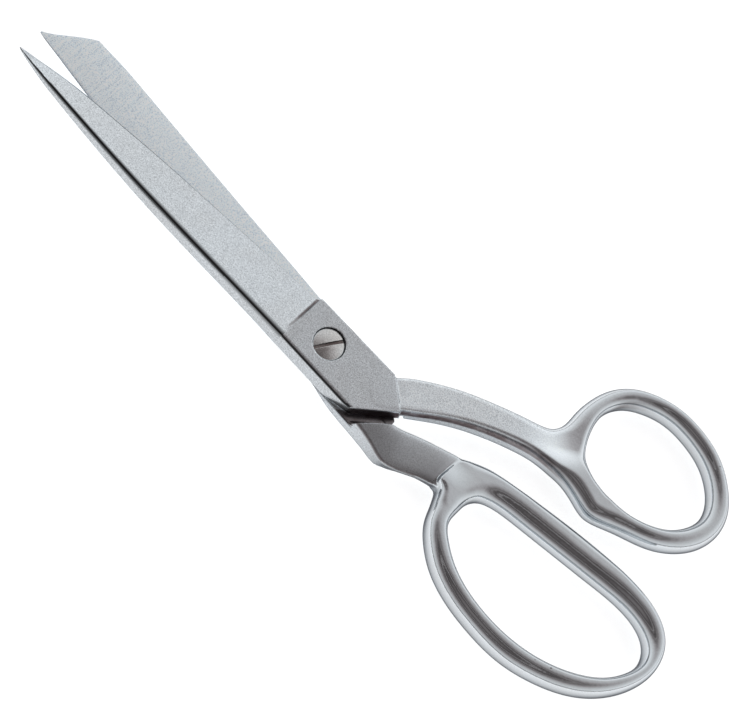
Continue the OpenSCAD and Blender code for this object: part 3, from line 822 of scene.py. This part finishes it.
def steel(name, light, warm, rough_chrome, rough_satin, grain):
    m = bpy.data.materials.new(name)
    k = Net(m)
    out = k.add("OutputMaterial")
    co = k.add("TexCoord").outputs["Object"]
    satin = k.add("Attribute", attribute_name="satin").outputs["Fac"]
    grind = k.add("Attribute", attribute_name="grind").outputs["Fac"]
    skin = k.add("Attribute", attribute_name="skin").outputs["Fac"]
    painted_light_and_shade = k.add("Attribute", attribute_name="painted_light_and_shade").outputs["Fac"]
    matte = k.add("Attribute", attribute_name="matte").outputs["Fac"]
    grit = k.add("TexNoise", {"Vector": co, "Scale": 3600.0, "Detail": 1.0, "Roughness": 0.5})
    # fine casting grain and soft blotches
    fine = k.add("TexNoise", {"Vector": co, "Scale": 5200.0, "Detail": 3.0, "Roughness": 0.7})
    blot = k.add("TexNoise", {"Vector": co, "Scale": 260.0, "Detail": 4.0, "Roughness": 0.6})
    wide = k.add("TexNoise", {"Vector": co, "Scale": 95.0, "Detail": 2.0, "Roughness": 0.5})
    # hairlines left by the belt, across the blade
    turn = k.add("Mapping", {"Vector": co, "Rotation": (0, 0, math.radians(-31.6)),
                             "Scale": (1.0, 0.02, 1.0)})
    hair = k.add("TexNoise", {"Vector": turn.outputs[0], "Scale": 2600.0, "Detail": 2.0,
                              "Roughness": 0.8})
    rough = k.add("MapRange", {"Value": satin, "From Min": 0.0, "From Max": 1.0,
                               "To Min": rough_chrome, "To Max": rough_satin})
    r1 = k.add("Math", {0: rough.outputs[0], 1: matte}, operation="ADD")
    r2 = k.add("Math", {0: blot.outputs["Fac"], 1: 0.08, 2: r1.outputs[0]}, operation="MULTIPLY_ADD")
    r3 = k.add("Math", {0: fine.outputs["Fac"], 1: 0.05, 2: r2.outputs[0]}, operation="MULTIPLY_ADD")
    ramp_ = k.add("ValToRGB", {"Fac": wide.outputs["Fac"]})
    ramp_.color_ramp.elements[0].position, ramp_.color_ramp.elements[0].color = 0.35, (*warm, 1)
    ramp_.color_ramp.elements[1].position, ramp_.color_ramp.elements[1].color = 0.62, (*light, 1)
    # grain in the tone: strong on the satin parts, slight on the polished ones
    amp = k.add("MapRange", {"Value": satin, "To Min": 0.14, "To Max": 1.35})
    off = k.add("Math", {0: grit.outputs["Fac"], 1: 0.5}, operation="SUBTRACT")
    gt = k.add("Math", {0: off.outputs[0], 1: amp.outputs[0], 2: 1.0}, operation="MULTIPLY_ADD")
    line_ = k.add("Math", {0: hair.outputs["Fac"], 1: 0.5}, operation="SUBTRACT")
    line2 = k.add("Math", {0: line_.outputs[0], 1: grind}, operation="MULTIPLY")
    gt2 = k.add("Math", {0: line2.outputs[0], 1: 0.75, 2: gt.outputs[0]}, operation="MULTIPLY_ADD")
    # painted light and shade scale the grained colour here
    gt3 = k.add("Math", {0: gt2.outputs[0], 1: painted_light_and_shade}, operation="MULTIPLY")
    grain_and_painted_light = k.add("VectorMath", {0: ramp_.outputs["Color"], "Scale": gt3.outputs[0]}, operation="SCALE")
    hue = k.add("Mix", {"Factor": k.add("Attribute", attribute_name="cool").outputs["Fac"]}, data_type="RGBA")
    hue.inputs[6].default_value, hue.inputs[7].default_value = (1, 1, 1, 1), (0.95, 1.0, 1.05, 1)
    grain_and_painted_light = k.add("VectorMath", {0: grain_and_painted_light.outputs[0], 1: hue.outputs[2]}, operation="MULTIPLY")
    # painted shade: a brown-grey copy of the colour, blotched and mixed in by the shade attribute
    skinc = k.add("VectorMath", {0: grain_and_painted_light.outputs[0], 1: (0.24, 0.195, 0.19)}, operation="MULTIPLY")
    sk = k.add("Math", {0: blot.outputs["Fac"], 1: 0.8, 2: 0.55}, operation="MULTIPLY_ADD")
    painted_shade_fac = k.add("Math", {0: sk.outputs[0], 1: skin}, operation="MULTIPLY", use_clamp=True)
    base = k.add("Mix", {"Factor": painted_shade_fac.outputs[0]}, data_type="RGBA")
    k.t.links.new(grain_and_painted_light.outputs[0], base.inputs[6])
    k.t.links.new(skinc.outputs[0], base.inputs[7])
    # heights: grain on satin parts, faint waves on polished ones, hairlines near the tip
    g1 = k.add("Math", {0: fine.outputs["Fac"], 1: satin}, operation="MULTIPLY")
    b1 = k.add("Bump", {"Strength": grain, "Distance": 0.00003, "Height": g1.outputs[0]})
    g2 = k.add("Math", {0: hair.outputs["Fac"], 1: grind}, operation="MULTIPLY")
    b2 = k.add("Bump", {"Strength": 0.35, "Distance": 0.00004, "Height": g2.outputs[0],
                        "Normal": b1.outputs[0]})
    b3 = k.add("Bump", {"Strength": 0.10, "Distance": 0.0004, "Height": blot.outputs["Fac"],
                        "Normal": b2.outputs[0]})
    p = k.add("BsdfPrincipled", {"Base Color": base.outputs[2], "Metallic": 1.0,
                                 "Roughness": r3.outputs[0], "Normal": b3.outputs[0],
                                 "Specular Tint": (0.16, 0.16, 0.17, 1.0)})
    k.t.links.new(p.outputs[0], out.inputs[0])
    return m


forged = steel("forged_steel", (0.724, 0.765, 0.798), (0.702, 0.735, 0.760), 0.04, 0.22, 0.5)
turned = steel("turned_steel", (0.74, 0.75, 0.75), (0.66, 0.645, 0.63), 0.05, 0.18, 0.4)
for o in (upper, lower, screw, nut):
    o.data.materials.append(forged if o in (upper, lower) else turned)


# ------------------------------------------------------- stage, light, camera
FILL = 1.5


def area(name, loc, target, size, size_y, power, glossy=True, color=(1, 1, 1)):
    d = bpy.data.lights.new(name, "AREA")
    d.shape = "RECTANGLE"
    d.size, d.size_y, d.energy, d.color = size, size_y, power, color
    o = bpy.data.objects.new(name, d)
    o.location = loc
    v = Vector(loc) - Vector(target)
    o.rotation_euler = v.to_track_quat("Z", "Y").to_euler()
    o.visible_glossy = glossy
    bpy.context.scene.collection.objects.link(o)
    return o


me = bpy.data.meshes.new("floor")
S = 3.0
me.from_pydata([(-S, -S, 0), (S, -S, 0), (S, S, 0), (-S, S, 0)], [], [(0, 1, 2, 3)])
floor = bpy.data.objects.new("floor", me)
floor.location = (0, 0, -0.0002)
bpy.context.scene.collection.objects.link(floor)
fm = bpy.data.materials.new("floor_white")
k = Net(fm)
out = k.add("OutputMaterial")
tex = k.add("TexNoise", {"Vector": k.add("TexCoord").outputs["Object"], "Scale": 900.0, "Detail": 3.0})
fr = k.add("MapRange", {"Value": tex.outputs["Fac"], "To Min": 0.8, "To Max": 0.95})
dif = k.add("BsdfPrincipled", {"Base Color": (0.92, 0.925, 0.925, 1), "Roughness": fr.outputs[0],
                               "Specular IOR Level": 0.1, "Emission Color": (1, 1, 1, 1),
                               "Emission Strength": 0.68})
k.t.links.new(dif.outputs[0], out.inputs[0])
me.materials.append(fm)

# a tent of light: pale all round the horizon, dim above, where the opening is
w = bpy.data.worlds.new("studio")
bpy.context.scene.world = w
k = Net(w)
wo = k.add("OutputWorld")
gen = k.add("TexCoord").outputs["Generated"]
ang = math.radians(22)
dot = k.add("VectorMath", {0: gen, 1: (0.0, math.sin(ang), math.cos(ang))}, operation="DOT_PRODUCT")
cr = k.add("ValToRGB", {"Fac": dot.outputs["Value"]})
e = cr.color_ramp.elements
stops = [(0.0, 0.95), (0.17, 0.90), (0.36, 0.82), (0.545, 0.68), (0.682, 0.56), (0.788, 0.36),
         (0.857, 0.14), (0.878, 0.26), (0.903, 0.10), (0.932, 0.07), (0.946, 0.34), (0.959, 0.08),
         (0.98, 0.08), (0.99, 0.14), (1.0, 0.18)]
while len(e) < len(stops):
    e.new(0.5)
for i, (at, v) in enumerate(stops):
    f = min(1.0, v / 0.7)
    e[i].position = at
    e[i].color = (v * (1.08 - 0.11 * f), v * (0.95 + 0.045 * f), v * (0.95 + 0.06 * f), 1)
sep = k.add("SeparateXYZ", {0: gen})
hz = k.add("ValToRGB", {"Fac": sep.outputs["Z"]})
h = hz.color_ramp.elements
for i, (at, v) in enumerate([(0.0, 0.35), (0.10, 0.45), (0.17, 1.0)]):
    if i > 1:
        h.new(at)
    h[i].position, h[i].color = at, (v, v * 0.985, v * 0.98, 1)
env = k.add("VectorMath", {0: cr.outputs["Color"], 1: hz.outputs["Color"]}, operation="MULTIPLY")
bg = k.add("Background", {"Color": env.outputs[0], "Strength": 1.0})
k.t.links.new(bg.outputs[0], wo.inputs[0])

K_MM, TILT = 0.2318, math.radians(25)
c_, s_ = math.cos(TILT), math.sin(TILT)
target = Vector((-0.01053, -0.00758, 0.004))
# one large soft panel lights the floor evenly
area("fill_top", (0.0, -0.3, 1.6), (0, 0, 0), 2.4, 2.4, FILL, glossy=False)

cam_d = bpy.data.cameras.new("camera")
cam_d.lens = 300
cam_d.sensor_width = 36
cam_d.clip_end = 20
cam = bpy.data.objects.new("camera", cam_d)
R = Vector((-0.6779, -0.7352 * c_, 0.7352 * s_)).normalized()
U = Vector((0.7352, -0.6779 * c_, 0.6779 * s_)).normalized()
Bk = R.cross(U).normalized()
dist = cam_d.lens * (754 * K_MM * 0.001) / 36
pos = target + Bk * dist
M = Matrix((R, U, Bk)).transposed().to_4x4()
M.translation = pos
cam.matrix_world = M
bpy.context.scene.collection.objects.link(cam)
bpy.context.scene.camera = cam
vs = bpy.context.scene.view_settings
vs.view_transform = "Standard"
